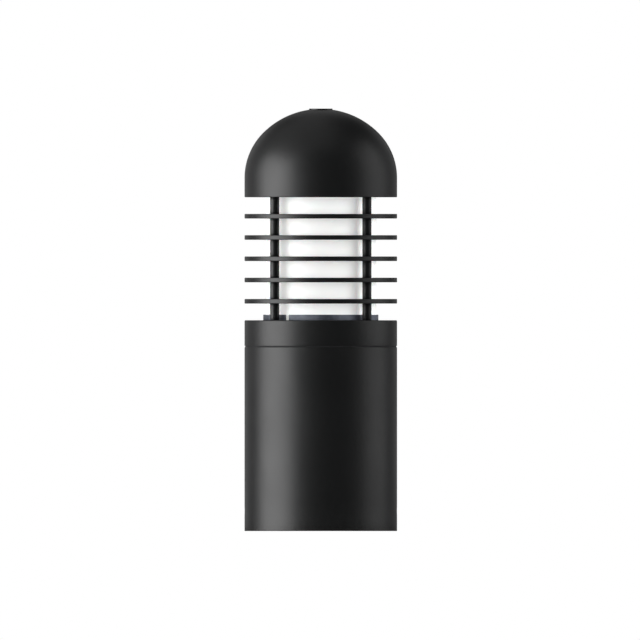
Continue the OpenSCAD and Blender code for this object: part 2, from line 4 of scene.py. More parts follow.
import bpy
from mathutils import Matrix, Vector


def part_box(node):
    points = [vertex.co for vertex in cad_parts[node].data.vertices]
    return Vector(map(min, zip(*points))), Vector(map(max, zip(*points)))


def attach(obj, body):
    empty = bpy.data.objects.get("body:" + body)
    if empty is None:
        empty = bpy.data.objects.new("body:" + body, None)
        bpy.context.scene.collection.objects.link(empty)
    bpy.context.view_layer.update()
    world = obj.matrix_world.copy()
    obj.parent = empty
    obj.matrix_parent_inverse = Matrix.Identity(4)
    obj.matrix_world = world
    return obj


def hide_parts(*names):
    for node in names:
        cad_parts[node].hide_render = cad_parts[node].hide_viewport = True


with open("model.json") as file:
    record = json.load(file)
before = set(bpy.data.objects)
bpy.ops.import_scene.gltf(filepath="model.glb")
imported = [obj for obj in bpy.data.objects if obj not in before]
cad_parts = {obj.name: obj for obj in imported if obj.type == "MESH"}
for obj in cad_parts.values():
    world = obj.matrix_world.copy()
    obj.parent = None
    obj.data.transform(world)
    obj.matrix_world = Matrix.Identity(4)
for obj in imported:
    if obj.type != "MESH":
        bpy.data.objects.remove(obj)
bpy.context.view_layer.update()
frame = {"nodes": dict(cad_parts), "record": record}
mm = 0.001
samePoint = 0.002 * mm  # points nearer than this are merged
past = 1 * mm  # how far a drill runs past the faces that it goes through

# sizes that several pieces share; all but the tie rod's radius are read from the CAD nodes
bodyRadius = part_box("post_tube")[1].x
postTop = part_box("post_tube")[1].z
collarLow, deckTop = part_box("collar")[0].z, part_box("collar")[1].z
rodRadius = 3 * mm
rodCircle = (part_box("tie_rods")[1].x - rodRadius) * math.sqrt(2)
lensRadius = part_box("lens_tube")[1].x
plateLow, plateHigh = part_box("upper_plate")[0].z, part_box("upper_plate")[1].z
print("frame loaded:", len(frame["nodes"]), "nodes")


def arcPoints(centreX, centreZ, radius, start, end, steps):
    angles = [math.radians(start + (end - start) * i / steps) for i in range(steps + 1)]
    return [(centreX + radius * math.cos(a), centreZ + radius * math.sin(a)) for a in angles]


def pick(piece):
    bpy.ops.object.select_all(action="DESELECT")
    piece.select_set(True)
    bpy.context.view_layer.objects.active = piece


def inEdit(piece):
    pick(piece)
    bpy.ops.object.mode_set(mode="EDIT")


def leaveEdit():
    bpy.ops.object.mode_set(mode="OBJECT")


def placeInMesh(piece):
    pick(piece)
    bpy.ops.object.transform_apply(location=True, rotation=True, scale=True)


def closeOutline(piece):
    # picks the two loose ends of the outline and joins them with an edge
    leaveEdit()
    used = [0] * len(piece.data.vertices)
    for edge in piece.data.edges:
        for i in edge.vertices:
            used[i] += 1
    for vertex in piece.data.vertices:
        vertex.select = used[vertex.index] == 1
    for edge in piece.data.edges:
        edge.select = False
    inEdit(piece)
    bpy.ops.mesh.edge_face_add()


def turn(name, outline, segments=144, centre=0.0):
    # an outline of (radius, height) spun round an upright axis that crosses X at the centre
    bpy.ops.object.select_all(action="DESELECT")
    startX, startZ = outline[0]
    bpy.ops.mesh.primitive_plane_add(size=1 * mm, location=(centre + startX, 0, startZ))
    piece = bpy.context.object
    piece.name = piece.data.name = name
    placeInMesh(piece)
    inEdit(piece)
    bpy.ops.mesh.select_all(action="SELECT")
    bpy.ops.mesh.merge(type="CENTER")
    for (fromX, fromZ), (toX, toZ) in zip(outline, outline[1:]):
        step = (toX - fromX, 0, toZ - fromZ)
        bpy.ops.mesh.extrude_vertices_move(TRANSFORM_OT_translate={"value": step})
    if max(outline[0][0], outline[-1][0]) > 0:
        closeOutline(piece)
    bpy.ops.mesh.select_all(action="SELECT")
    bpy.ops.mesh.spin(steps=segments, angle=2 * math.pi, center=(centre, 0, 0), axis=(0, 0, 1))
    bpy.ops.mesh.select_all(action="SELECT")
    bpy.ops.mesh.remove_doubles(threshold=samePoint)
    bpy.ops.mesh.normals_make_consistent(inside=False)
    leaveEdit()
    return piece


def cleaned(piece):
    # a cut or a bevel can leave slivers with no area
    inEdit(piece)
    bpy.ops.mesh.select_all(action="SELECT")
    bpy.ops.mesh.remove_doubles(threshold=samePoint)
    bpy.ops.mesh.dissolve_degenerate(threshold=samePoint)
    leaveEdit()
    return piece


def rounded(piece, width, steps=3, angle=35):
    pick(piece)
    bevel = piece.modifiers.new("edges", "BEVEL")
    bevel.width = width
    bevel.segments = steps
    bevel.limit_method = "ANGLE"
    bevel.angle_limit = math.radians(angle)
    bpy.ops.object.modifier_apply(modifier=bevel.name)
    return cleaned(piece)


def combine(piece, tool, how):
    # cuts the tool out of the piece, adds it or keeps what they share, and throws the tool away
    pick(piece)
    change = piece.modifiers.new("change", "BOOLEAN")
    change.operation = how
    change.solver = "EXACT"
    change.object = tool
    bpy.ops.object.modifier_apply(modifier=change.name)
    bpy.data.objects.remove(tool)
    return cleaned(piece)


def copyOf(piece, name, lift=0.0, angle=0.0):
    pick(piece)
    bpy.ops.object.duplicate(linked=False)
    twin = bpy.context.object
    if lift:
        bpy.ops.transform.translate(value=(0, 0, lift))
    if angle:
        bpy.ops.transform.rotate(value=angle, orient_axis="Z", center_override=(0, 0, 0))
    bpy.ops.object.transform_apply(location=True, rotation=True, scale=True)
    twin.name = twin.data.name = name
    return twin


def join(pieces, name):
    bpy.ops.object.select_all(action="DESELECT")
    for piece in pieces:
        piece.select_set(True)
    bpy.context.view_layer.objects.active = pieces[0]
    if len(pieces) > 1:
        bpy.ops.object.join()
    pieces[0].name = pieces[0].data.name = name
    return pieces[0]


def atRods(first, name):
    # the first one is made on the X axis; its four copies go round to the tie rods
    copies = [copyOf(first, name, angle=math.radians(45 + 90 * i)) for i in range(4)]
    bpy.data.objects.remove(first)
    return join(copies, name)


def cylinder(radius, low, high, x=0.0, sides=48):
    bpy.ops.object.select_all(action="DESELECT")
    bpy.ops.mesh.primitive_cylinder_add(
        vertices=sides, radius=radius, depth=high - low, location=(x, 0, (low + high) / 2))
    piece = bpy.context.object
    placeInMesh(piece)
    return piece


def crosswise(radius, start, end, angle, height, sides=48):
    # a cylinder that lies outwards along a radius
    middle, way = (start + end) / 2, math.radians(angle)
    bpy.ops.object.select_all(action="DESELECT")
    bpy.ops.mesh.primitive_cylinder_add(
        vertices=sides, radius=radius, depth=end - start, rotation=(0, math.pi / 2, way),
        location=(middle * math.cos(way), middle * math.sin(way), height))
    piece = bpy.context.object
    placeInMesh(piece)
    return piece


def rodHoles(piece, radius, low, high):
    return combine(piece, atRods(cylinder(radius, low, high, rodCircle), "drill"), "DIFFERENCE")


def rodBosses(piece, radius, low, high):
    return combine(piece, atRods(cylinder(radius, low, high, rodCircle), "bosses"), "UNION")


def smooth(piece, angle=32):
    pick(piece)
    bpy.ops.object.shade_smooth_by_angle(angle=math.radians(angle))
    return piece


def newGroup(name, inputs, outputs):
    group = bpy.data.node_groups.new(name, "ShaderNodeTree")
    for label, kind, value in inputs:
        socket = group.interface.new_socket(label, in_out="INPUT", socket_type=kind)
        if value is not None:
            socket.default_value = value
    for label, kind in outputs:
        group.interface.new_socket(label, in_out="OUTPUT", socket_type=kind)
    start = group.nodes.new("NodeGroupInput")
    end = group.nodes.new("NodeGroupOutput")
    return group, start, end


def mapRange(nodes, links, value, low, high, toLow, toHigh):
    node = nodes.new("ShaderNodeMapRange")
    node.interpolation_type = "SMOOTHSTEP"
    node.inputs["From Min"].default_value = low
    node.inputs["From Max"].default_value = high
    for label, given in (("To Min", toLow), ("To Max", toHigh)):
        if isinstance(given, (int, float)):
            node.inputs[label].default_value = given
        else:
            links.new(given, node.inputs[label])
    links.new(value, node.inputs["Value"])
    return node.outputs["Result"]


def makeOrangePeel():
    # the fine skin of a powder coat: small dimples over a slow swell
    group, start, end = newGroup(
        "orangePeel",
        [("Vector", "NodeSocketVector", None), ("Dimples", "NodeSocketFloat", 900.0),
         ("Swell", "NodeSocketFloat", 140.0)],
        [("Height", "NodeSocketFloat")])
    nodes, links = group.nodes, group.links
    dimples = nodes.new("ShaderNodeTexNoise")
    dimples.inputs["Detail"].default_value = 2.0
    swell = nodes.new("ShaderNodeTexNoise")
    swell.inputs["Detail"].default_value = 1.0
    for node, label in ((dimples, "Dimples"), (swell, "Swell")):
        links.new(start.outputs["Vector"], node.inputs["Vector"])
        links.new(start.outputs[label], node.inputs["Scale"])
    mix = nodes.new("ShaderNodeMix")
    mix.data_type = "FLOAT"
    mix.inputs["Factor"].default_value = 0.35
    links.new(dimples.outputs["Fac"], mix.inputs["A"])
    links.new(swell.outputs["Fac"], mix.inputs["B"])
    links.new(mix.outputs["Result"], end.inputs["Height"])
    return group


def makePatches():
    # slow uneven patches, as from handling and weather
    group, start, end = newGroup(
        "patches",
        [("Vector", "NodeSocketVector", None), ("Scale", "NodeSocketFloat", 12.0),
         ("Low", "NodeSocketFloat", 0.3), ("High", "NodeSocketFloat", 0.4)],
        [("Value", "NodeSocketFloat")])
    nodes, links = group.nodes, group.links
    noise = nodes.new("ShaderNodeTexNoise")
    noise.inputs["Detail"].default_value = 5.0
    noise.inputs["Roughness"].default_value = 0.6
    links.new(start.outputs["Vector"], noise.inputs["Vector"])
    links.new(start.outputs["Scale"], noise.inputs["Scale"])
    value = mapRange(
        nodes, links, noise.outputs["Fac"], 0.3, 0.7, start.outputs["Low"], start.outputs["High"])
    links.new(value, end.inputs["Value"])
    return group


def makeLines():
    # fine lines round the upright axis, as turning or brushing leaves them
    group, start, end = newGroup(
        "turnedLines",
        [("Vector", "NodeSocketVector", None), ("Pitch", "NodeSocketFloat", 2500.0)],
        [("Height", "NodeSocketFloat")])
    nodes, links = group.nodes, group.links
    stretch = nodes.new("ShaderNodeMapping")
    stretch.inputs["Scale"].default_value = (0.02, 0.02, 1.0)
    noise = nodes.new("ShaderNodeTexNoise")
    noise.inputs["Detail"].default_value = 3.0
    links.new(start.outputs["Vector"], stretch.inputs["Vector"])
    links.new(stretch.outputs["Vector"], noise.inputs["Vector"])
    links.new(start.outputs["Pitch"], noise.inputs["Scale"])
    links.new(noise.outputs["Fac"], end.inputs["Height"])
    return group


def makeFootDust():
    # dust that rain splashes up from the ground, fading with height
    group, start, end = newGroup(
        "footDust",
        [("Vector", "NodeSocketVector", None), ("Reach", "NodeSocketFloat", 0.05),
         ("Amount", "NodeSocketFloat", 0.5)],
        [("Mask", "NodeSocketFloat")])
    nodes, links = group.nodes, group.links
    split = nodes.new("ShaderNodeSeparateXYZ")
    links.new(start.outputs["Vector"], split.inputs["Vector"])
    fade = nodes.new("ShaderNodeMapRange")
    fade.inputs["To Min"].default_value = 1.0
    fade.inputs["To Max"].default_value = 0.0
    links.new(split.outputs["Z"], fade.inputs["Value"])
    links.new(start.outputs["Reach"], fade.inputs["From Max"])
    specks = nodes.new("ShaderNodeTexNoise")
    specks.inputs["Scale"].default_value = 800.0
    specks.inputs["Detail"].default_value = 3.0
    links.new(start.outputs["Vector"], specks.inputs["Vector"])
    broken = mapRange(nodes, links, specks.outputs["Fac"], 0.45, 0.75, 0.0, 1.0)
    both = nodes.new("ShaderNodeMath")
    both.operation = "MULTIPLY"
    links.new(fade.outputs["Result"], both.inputs[0])
    links.new(broken, both.inputs[1])
    scaled = nodes.new("ShaderNodeMath")
    scaled.operation = "MULTIPLY"
    links.new(both.outputs[0], scaled.inputs[0])
    links.new(start.outputs["Amount"], scaled.inputs[1])
    links.new(scaled.outputs[0], end.inputs["Mask"])
    return group


def makeSpangle():
    # the crystal flakes of hot-dip zinc
    group, start, end = newGroup(
        "zincSpangle",
        [("Vector", "NodeSocketVector", None), ("Scale", "NodeSocketFloat", 160.0)],
        [("Flake", "NodeSocketFloat"), ("Roughness", "NodeSocketFloat")])
    nodes, links = group.nodes, group.links
    cells = nodes.new("ShaderNodeTexVoronoi")
    links.new(start.outputs["Vector"], cells.inputs["Vector"])
    links.new(start.outputs["Scale"], cells.inputs["Scale"])
    split = nodes.new("ShaderNodeSeparateColor")
    links.new(cells.outputs["Color"], split.inputs["Color"])
    links.new(split.outputs["Red"], end.inputs["Flake"])
    roughness = mapRange(nodes, links, split.outputs["Red"], 0.0, 1.0, 0.32, 0.52)
    links.new(roughness, end.inputs["Roughness"])
    return group


orangePeel = makeOrangePeel()
patches = makePatches()
turnedLines = makeLines()
footDust = makeFootDust()
zincSpangle = makeSpangle()
print("effects ready")


def newMaterial(name, colour, roughness, metallic=0.0):
    material = bpy.data.materials.new(name)
    material.use_nodes = True
    shader = material.node_tree.nodes["Principled BSDF"]
    shader.inputs["Base Color"].default_value = (*colour, 1)
    shader.inputs["Roughness"].default_value = roughness
    shader.inputs["Metallic"].default_value = metallic
    place = material.node_tree.nodes.new("ShaderNodeTexCoord")
    place.name = "place"
    return material


def effect(material, group, **values):
    tree = material.node_tree
    node = tree.nodes.new("ShaderNodeGroup")
    node.node_tree = group
    tree.links.new(tree.nodes["place"].outputs["Object"], node.inputs["Vector"])
    for label, value in values.items():
        node.inputs[label].default_value = value
    return node.outputs


def feed(material, socket, value):
    tree = material.node_tree
    tree.links.new(value, tree.nodes["Principled BSDF"].inputs[socket])


def tint(material, mask, first, second):
    tree = material.node_tree
    mix = tree.nodes.new("ShaderNodeMix")
    mix.data_type = "RGBA"
    mix.inputs["A"].default_value = (*first, 1)
    mix.inputs["B"].default_value = (*second, 1)
    tree.links.new(mask, mix.inputs["Factor"])
    feed(material, "Base Color", mix.outputs["Result"])


def bump(material, height, strength, depth):
    tree = material.node_tree
    node = tree.nodes.new("ShaderNodeBump")
    node.inputs["Strength"].default_value = strength
    node.inputs["Distance"].default_value = depth
    tree.links.new(height, node.inputs["Height"])
    feed(material, "Normal", node.outputs["Normal"])


def powderBlack():
    look = {"colour": (0.0042, 0.0044, 0.0046), "dust": (0.05, 0.048, 0.044),
            "low": 0.4, "high": 0.45, "grain": 0.12 * mm}
    paint = newMaterial("powderBlack", look["colour"], look["low"])
    sheen = effect(paint, patches, Scale=16.0, Low=look["low"], High=look["high"])
    feed(paint, "Roughness", sheen["Value"])
    bump(paint, effect(paint, orangePeel, Dimples=1100.0, Swell=240.0)["Height"], 1.0, look["grain"])
    dust = effect(paint, footDust, Reach=0.03, Amount=0.2)
    tint(paint, dust["Mask"], look["colour"], look["dust"])
    return paint


def opalAcrylic():
    # the emission is painted light: an even glow that lifts the shade the rods and louvres cast on the opal,
    # standing in for daylight that comes through it from the far side
    look = {"colour": (0.77, 0.78, 0.77), "deep": (0.75, 0.76, 0.755),
            "low": 0.34, "high": 0.4, "paintedGlow": 0.3}
    opal = newMaterial("opalAcrylic", look["colour"], look["low"])
    sheen = effect(opal, patches, Scale=9.0, Low=look["low"], High=look["high"])
    feed(opal, "Roughness", sheen["Value"])
    tone = effect(opal, patches, Scale=5.0, Low=0.0, High=1.0)
    tint(opal, tone["Value"], look["colour"], look["deep"])
    shader = opal.node_tree.nodes["Principled BSDF"]
    shader.inputs["Subsurface Weight"].default_value = 0.15
    shader.inputs["Subsurface Scale"].default_value = 0.006
    shader.inputs["IOR"].default_value = 1.49
    # painted light: the opal glows evenly though the lamp inside is not lit
    shader.inputs["Emission Color"].default_value = (0.96, 0.97, 0.96, 1)
    shader.inputs["Emission Strength"].default_value = look["paintedGlow"]
    return opal


def ringSteel():
    # zinc plate that has gone dull and a little blue
    look = {"pale": (0.125, 0.137, 0.165), "dull": (0.035, 0.039, 0.052), "low": 0.4, "high": 0.55}
    steel = newMaterial("ringSteel", look["pale"], look["low"], 0.2)
    tone = effect(steel, patches, Scale=45.0, Low=0.0, High=1.0)
    tint(steel, tone["Value"], look["pale"], look["dull"])
    sheen = effect(steel, patches, Scale=60.0, Low=look["low"], High=look["high"])
    feed(steel, "Roughness", sheen["Value"])
    bump(steel, effect(steel, turnedLines, Pitch=6000.0)["Height"], 0.15, 0.05 * mm)
    return steel


def plainMetal(name, colour, low, high, pitch=2500.0):
    metal = newMaterial(name, colour, low, 1.0)
    feed(metal, "Roughness", effect(metal, patches, Scale=90.0, Low=low, High=high)["Value"])
    shade = tuple(0.82 * c for c in colour)
    tint(metal, effect(metal, patches, Scale=35.0, Low=0.0, High=1.0)["Value"], colour, shade)
    bump(metal, effect(metal, turnedLines, Pitch=pitch)["Height"], 0.12, 0.04 * mm)
    return metal


def galvanised():
    look = {"pale": (0.46, 0.47, 0.48), "dark": (0.34, 0.35, 0.36)}
    zinc = newMaterial("galvanised", look["pale"], 0.4, 1.0)
    flake = effect(zinc, zincSpangle, Scale=150.0)
    tint(zinc, flake["Flake"], look["pale"], look["dark"])
    feed(zinc, "Roughness", flake["Roughness"])
    bump(zinc, flake["Flake"], 0.1, 0.05 * mm)
    return zinc


def moulded(name, colour, low, high, depth=0.05, coat=0.0):
    # plastics, rubbers and glazes: a tone that drifts a little, over a fine skin
    plastic = newMaterial(name, colour, low)
    shade = tuple(0.88 * c for c in colour)
    tint(plastic, effect(plastic, patches, Scale=30.0, Low=0.0, High=1.0)["Value"], colour, shade)
    feed(plastic, "Roughness", effect(plastic, patches, Scale=80.0, Low=low, High=high)["Value"])
    bump(plastic, effect(plastic, orangePeel, Dimples=1600.0, Swell=300.0)["Height"], 0.25, depth * mm)
    plastic.node_tree.nodes["Principled BSDF"].inputs["Coat Weight"].default_value = coat
    return plastic


looks = {
    "powder_black": powderBlack(),
    "mild_steel": galvanised(),
    "zinc_steel": plainMetal("zincSteel", (0.6, 0.61, 0.63), 0.36, 0.46),
    "ring_steel": ringSteel(),
    "black_rubber": moulded("blackRubber", (0.018, 0.018, 0.019), 0.6, 0.75, 0.12),
    "white_silicone": moulded("whiteSilicone", (0.8, 0.8, 0.78), 0.45, 0.55),
    "opal_lens": opalAcrylic(),
    "white_enamel": moulded("whiteEnamel", (0.86, 0.86, 0.84), 0.22, 0.3, 0.06, 0.3),
    "lampholder_ceramic": moulded("lampholderCeramic", (0.84, 0.82, 0.76), 0.15, 0.25, 0.1, 0.6),
    "brass": plainMetal("brass", (0.72, 0.52, 0.22), 0.28, 0.42),
    "lamp_cap_metal": plainMetal("lampCapMetal", (0.66, 0.64, 0.6), 0.22, 0.34, 4000.0),
    "lamp_insulator_black": moulded("lampInsulatorBlack", (0.02, 0.02, 0.022), 0.12, 0.2, 0.02),
    "lamp_housing_white": moulded("lampHousingWhite", (0.82, 0.82, 0.8), 0.35, 0.45),
    "lamp_opal": moulded("lampOpal", (0.9, 0.9, 0.87), 0.4, 0.5, 0.03),
    "nylon": moulded("nylon", (0.76, 0.75, 0.7), 0.4, 0.52),
    "white_pvc": moulded("whitePvc", (0.72, 0.71, 0.67), 0.35, 0.45),
    "green_pvc": moulded("greenPvc", (0.13, 0.34, 0.05), 0.35, 0.45),
}
slotOf = {entry["node"]: entry["material_slot"] for entry in frame["record"]["subparts"]}
bodies = frame["record"]["behaviour"]["bodies"]
bodyOf = {node: body for body, nodes in bodies.items() for node in nodes}
print("materials ready:", len(looks))


def settle(piece, *nodes):
    # gives a finished piece the finish that its CAD nodes' slot names and the body of the CAD nodes that it
    # stands for
    smooth(piece)
    piece.data.materials.clear()
    piece.data.materials.append(looks[slotOf[nodes[0]]])
    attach(piece, bodyOf[nodes[0]])
    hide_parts(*nodes)
    return piece


postTube = {"wall": 4 * mm, "edge": 0.6 * mm, "screwHeight": 22 * mm, "screwHole": 4.3 * mm,
            "screwAngles": (0, 90, 180),
            "screwBand": 8 * mm}  # edge loops this far above and below keep the shading round the holes local


def makePost():
    inner = bodyRadius - postTube["wall"]
    height, band = postTube["screwHeight"], postTube["screwBand"]
    levels = [height - band, height + band]
    outline = [(inner, 0.0), (bodyRadius, 0.0), *[(bodyRadius, z) for z in levels],
               (bodyRadius, postTop), (inner, postTop), *[(inner, z) for z in reversed(levels)]]
    post = rounded(turn("postTube", outline, 160), postTube["edge"])
    drills = [crosswise(postTube["screwHole"], inner - past, bodyRadius + past, angle, height)
              for angle in postTube["screwAngles"]]
    combine(post, join(drills, "drill"), "DIFFERENCE")
    return settle(post, "post_tube")


setScrew = {"radius": 4 * mm, "long": 12 * mm, "edge": 0.5 * mm,
            "socket": 4 * mm, "deep": 3.6 * mm}  # the socket's key size and depth


def makeSetScrews():
    # one grub screw on the X axis, with its copies turned to the other holes
    low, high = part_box("base_set_screws")
    outer = high.x
    height = (low.z + high.z) / 2
    screw = crosswise(setScrew["radius"], outer - setScrew["long"], outer, 0, height)
    rounded(screw, setScrew["edge"], 2)
    corner = setScrew["socket"] / math.sqrt(3)
    socket = crosswise(corner, outer - setScrew["deep"], outer + past, 0, height, 6)
    combine(screw, socket, "DIFFERENCE")
    others = [copyOf(screw, "setScrew", angle=math.radians(angle))
              for angle in postTube["screwAngles"][1:]]
    return settle(join([screw, *others], "setScrews"), "base_set_screws")


seam = {"bead": 0.25 * mm}  # how far the gasket's edge bulges


def makeSeam():
    low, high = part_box("seam_gasket")
    inner = bodyRadius - postTube["wall"]
    outline = [(inner, low.z), (high.x - seam["bead"], low.z), (high.x, (low.z + high.z) / 2),
               (high.x - seam["bead"], high.z), (inner, high.z)]
    return settle(turn("seamGasket", outline), "seam_gasket")


makePost()
makeSetScrews()
makeSeam()
print("post ready")


collar = {"spigotGap": 0.3 * mm, "spigotWall": 4 * mm, "spigotLead": 1 * mm, "wall": 4 * mm,
          "deck": 5 * mm, "deckInside": 10.5 * mm, "edge": 1.2 * mm, "rim": 0.5 * mm, "lip": 0.4 * mm,
          "shoulder": 4 * mm, "boss": 7.5 * mm, "bossDown": 1 * mm, "hole": 3.3 * mm}


def makeCollar():
    spigot = bodyRadius - postTube["wall"] - collar["spigotGap"]
    spigotInner = spigot - collar["spigotWall"]
    opening = lensRadius - lens["wall"] - collar["deckInside"]
    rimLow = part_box("seam_gasket")[1].z
    under = deckTop - collar["deck"]
    wall = bodyRadius - collar["wall"]
    edge, rim, lip, lead = collar["edge"], collar["rim"], collar["lip"], collar["spigotLead"]
    outline = [(spigotInner, collarLow), (spigot - lead, collarLow), (spigot, collarLow + lead),
               (spigot, rimLow), *arcPoints(bodyRadius - rim, rimLow + rim, rim, -90, 0, 3),
               *arcPoints(bodyRadius - edge, deckTop - edge, edge, 0, 90, 6),
               (opening + lip, deckTop), (opening, deckTop - lip), (opening, under), (wall, under),
               (wall, rimLow + collar["shoulder"]), (spigotInner, rimLow + collar["shoulder"])]
    piece = turn("collarCasting", outline, 160)
    rodBosses(piece, collar["boss"], collarLow, deckTop - collar["bossDown"])
    rodHoles(piece, collar["hole"], collarLow - past, deckTop + past)
    return settle(piece, "collar")


clampRing = {"out": 2.4 * mm, "thick": 1.5 * mm, "gap": 4.4 * mm, "gapAngle": 234, "edge": 0.35 * mm,
             "saw": 10 * mm}  # the length of the block that cuts the gap


def makeClampRing():
    low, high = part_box("lens_clamp_ring")
    outer = lensRadius + clampRing["out"]
    outline = [(outer - clampRing["thick"], low.z), (outer, low.z), (outer, high.z),
               (outer - clampRing["thick"], high.z)]
    ring = turn("lensClampRing", outline, 160)
    angle = math.radians(clampRing["gapAngle"])
    bpy.ops.object.select_all(action="DESELECT")
    bpy.ops.mesh.primitive_cube_add(
        size=1, location=(outer * math.cos(angle), outer * math.sin(angle), (low.z + high.z) / 2),
        rotation=(0, 0, angle), scale=(clampRing["saw"], clampRing["gap"], 3 * (high.z - low.z)))
    saw = bpy.context.object
    placeInMesh(saw)
    combine(ring, saw, "DIFFERENCE")
    rounded(ring, clampRing["edge"], 3, 50)
    return settle(ring, "lens_clamp_ring")


lens = {"wall": 3.5 * mm, "edge": 0.5 * mm}


def makeLens():
    low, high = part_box("lens_tube")
    inner = lensRadius - lens["wall"]
    outline = [(inner, low.z), (lensRadius, low.z), (lensRadius, high.z), (inner, high.z)]
    return settle(rounded(turn("lensTube", outline, 160), lens["edge"]), "lens_tube")


lowerGasket = {"seat": 4.5 * mm, "snug": 0.05 * mm, "floor": 1.5 * mm, "lipDown": 0.3 * mm, "lipIn": 0.2 * mm}


def makeLowerGasket():
    low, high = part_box("lens_gasket_lower")
    inner, lip = lensRadius - lowerGasket["seat"], lensRadius + lowerGasket["snug"]
    step = low.z + lowerGasket["floor"]
    outline = [(inner, low.z), (high.x, low.z), (high.x, high.z - lowerGasket["lipDown"]),
               (high.x - lowerGasket["lipIn"], high.z), (lip, high.z), (lip, step), (inner, step)]
    return settle(turn("lensGasketLower", outline), "lens_gasket_lower")


makeCollar()
makeClampRing()
makeLens()
makeLowerGasket()
print("collar and lens ready")


louvre = {"width": 18 * mm, "rim": 3.5 * mm, "lip": 2 * mm, "web": 2.8 * mm, "edge": 0.8 * mm,
          "chamfer": 0.5 * mm, "innerEdge": 0.4 * mm, "boss": 5.8 * mm, "bossDown": 1 * mm, "hole": 3.3 * mm}


def makeLouvre():
    # the lowest one; the others are copies of it
    low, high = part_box("louvre_1")[0].z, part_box("louvre_1")[1].z
    inner, edge = bodyRadius - louvre["width"], louvre["edge"]
    web = high - louvre["web"]
    rim = bodyRadius - louvre["rim"]
    lip, chamfer, innerEdge = inner + louvre["lip"], louvre["chamfer"], louvre["innerEdge"]
    outline = [(inner, low), (lip, low), (lip, web - chamfer), (lip + chamfer, web),
               (rim - chamfer, web), (rim, web - chamfer), (rim, low),
               *arcPoints(bodyRadius - edge, low + edge, edge, -90, 0, 5),
               *arcPoints(bodyRadius - edge, high - edge, edge, 0, 90, 5),
               (inner + innerEdge, high), (inner, high - innerEdge)]
    piece = turn("louvre1", outline, 160)
    rodBosses(piece, louvre["boss"], low, high - louvre["bossDown"])
    rodHoles(piece, louvre["hole"], low - past, high + past)
    return piece


spacer = {"radius": 5 * mm, "bore": 3.3 * mm, "edge": 0.3 * mm}


def makeSpacers():
    low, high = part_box("spacers_1")[0].z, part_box("spacers_1")[1].z
    outer, inner = spacer["radius"], spacer["bore"]
    outline = [(inner, low), (outer, low), (outer, high), (inner, high)]
    return atRods(rounded(turn("spacer", outline, 48, rodCircle), spacer["edge"], 2), "spacers1")


def stack(first, label, node, count):
    # copies of the first one, each lifted to where its CAD node starts
    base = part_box(f"{node}_1")[0].z
    pieces = [first] + [copyOf(first, f"{label}{i}", lift=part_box(f"{node}_{i}")[0].z - base)
                        for i in range(2, count + 1)]
    for i, piece in enumerate(pieces, 1):
        settle(piece, f"{node}_{i}")


louvreCount = len([node for node in frame["nodes"] if node.startswith("louvre_")])
stack(makeLouvre(), "louvre", "louvre", louvreCount)
stack(makeSpacers(), "spacers", "spacers", louvreCount + 1)
print("louvre cage ready")


upperPlate = {"groove": 3 * mm, "grooveOut": 0.9 * mm, "grooveIn": 4.55 * mm,
              "edge": 0.4 * mm, "hole": 3.3 * mm, "bore": 4.3 * mm}


def makeUpperPlate():
    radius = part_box("upper_plate")[1].x
    grooveOut, grooveIn = lensRadius + upperPlate["grooveOut"], lensRadius - upperPlate["grooveIn"]
    roof = plateLow + upperPlate["groove"]
    edge, bore = upperPlate["edge"], upperPlate["bore"]
    outline = [(bore, plateLow), (grooveIn, plateLow), (grooveIn, roof), (grooveOut, roof),
               (grooveOut, plateLow), (radius - edge, plateLow), (radius, plateLow + edge),
               (radius, plateHigh - edge), (radius - edge, plateHigh), (bore, plateHigh)]
    piece = turn("upperPlate", outline, 144)
    rodHoles(piece, upperPlate["hole"], plateLow - past, plateHigh + past)
    return settle(piece, "upper_plate")


tieRod = {"chamfer": 0.7 * mm, "thread": 14 * mm, "pitch": 1 * mm, "depth": 0.35 * mm,
          "ridge": (0.25, 0.6, 0.75)}  # where a ridge's root and crest lie, in pitches


def threadOutline(radius, start, count):
    # the ridges of the thread, going upwards
    pitch = tieRod["pitch"]
    root, crestLow, crestHigh = [share * pitch for share in tieRod["ridge"]]
    points = []
    for i in range(count):
        base = start + i * pitch
        points += [(radius - tieRod["depth"], base + root), (radius, base + crestLow),
                   (radius, base + crestHigh)]
    return points


def makeTieRods():
    low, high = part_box("tie_rods")[0].z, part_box("tie_rods")[1].z
    chamfer = tieRod["chamfer"]
    start = high - chamfer - tieRod["thread"]
    outline = [(0, low), (rodRadius - chamfer, low), (rodRadius, low + chamfer), (rodRadius, start),
               *threadOutline(rodRadius, start, round(tieRod["thread"] / tieRod["pitch"])),
               (rodRadius, high - chamfer), (rodRadius - chamfer, high), (0, high)]
    return settle(atRods(turn("tieRod", outline, 32, rodCircle), "tieRods"), "tie_rods")


washer = {"radius": 5.5 * mm, "bore": 3.3 * mm, "edge": 0.25 * mm}


def makeWashers():
    low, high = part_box("tie_rod_washers")[0].z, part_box("tie_rod_washers")[1].z
    outer, inner = washer["radius"], washer["bore"]
    outline = [(inner, low), (outer, low), (outer, high), (inner, high)]
    first = rounded(turn("washer", outline, 48, rodCircle), washer["edge"], 2)
    return settle(atRods(first, "tieRodWashers"), "tie_rod_washers")


rodNut = {"flats": 10 * mm, "bore": 3.05 * mm, "cornerDrop": 0.5 * mm}
coneSpare = 0.2 * mm  # how far a chamfering cone stands outside the corners of its hexagon


def makeNuts():
    low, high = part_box("tie_rod_nuts")[0].z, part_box("tie_rod_nuts")[1].z
    across = rodNut["flats"] / 2
    corner = rodNut["flats"] / math.sqrt(3)
    nut = cylinder(corner, low, high, rodCircle, 6)  # a flat faces outwards
    rim, drop = corner + coneSpare, rodNut["cornerDrop"]
    cone = turn("cone", [(0, low), (across, low), (rim, low + drop), (rim, high - drop),
                         (across, high), (0, high)], 48, rodCircle)
    combine(nut, cone, "INTERSECT")
    combine(nut, cylinder(rodNut["bore"], low - past, high + past, rodCircle, 32), "DIFFERENCE")
    return settle(atRods(nut, "tieRodNuts"), "tie_rod_nuts")


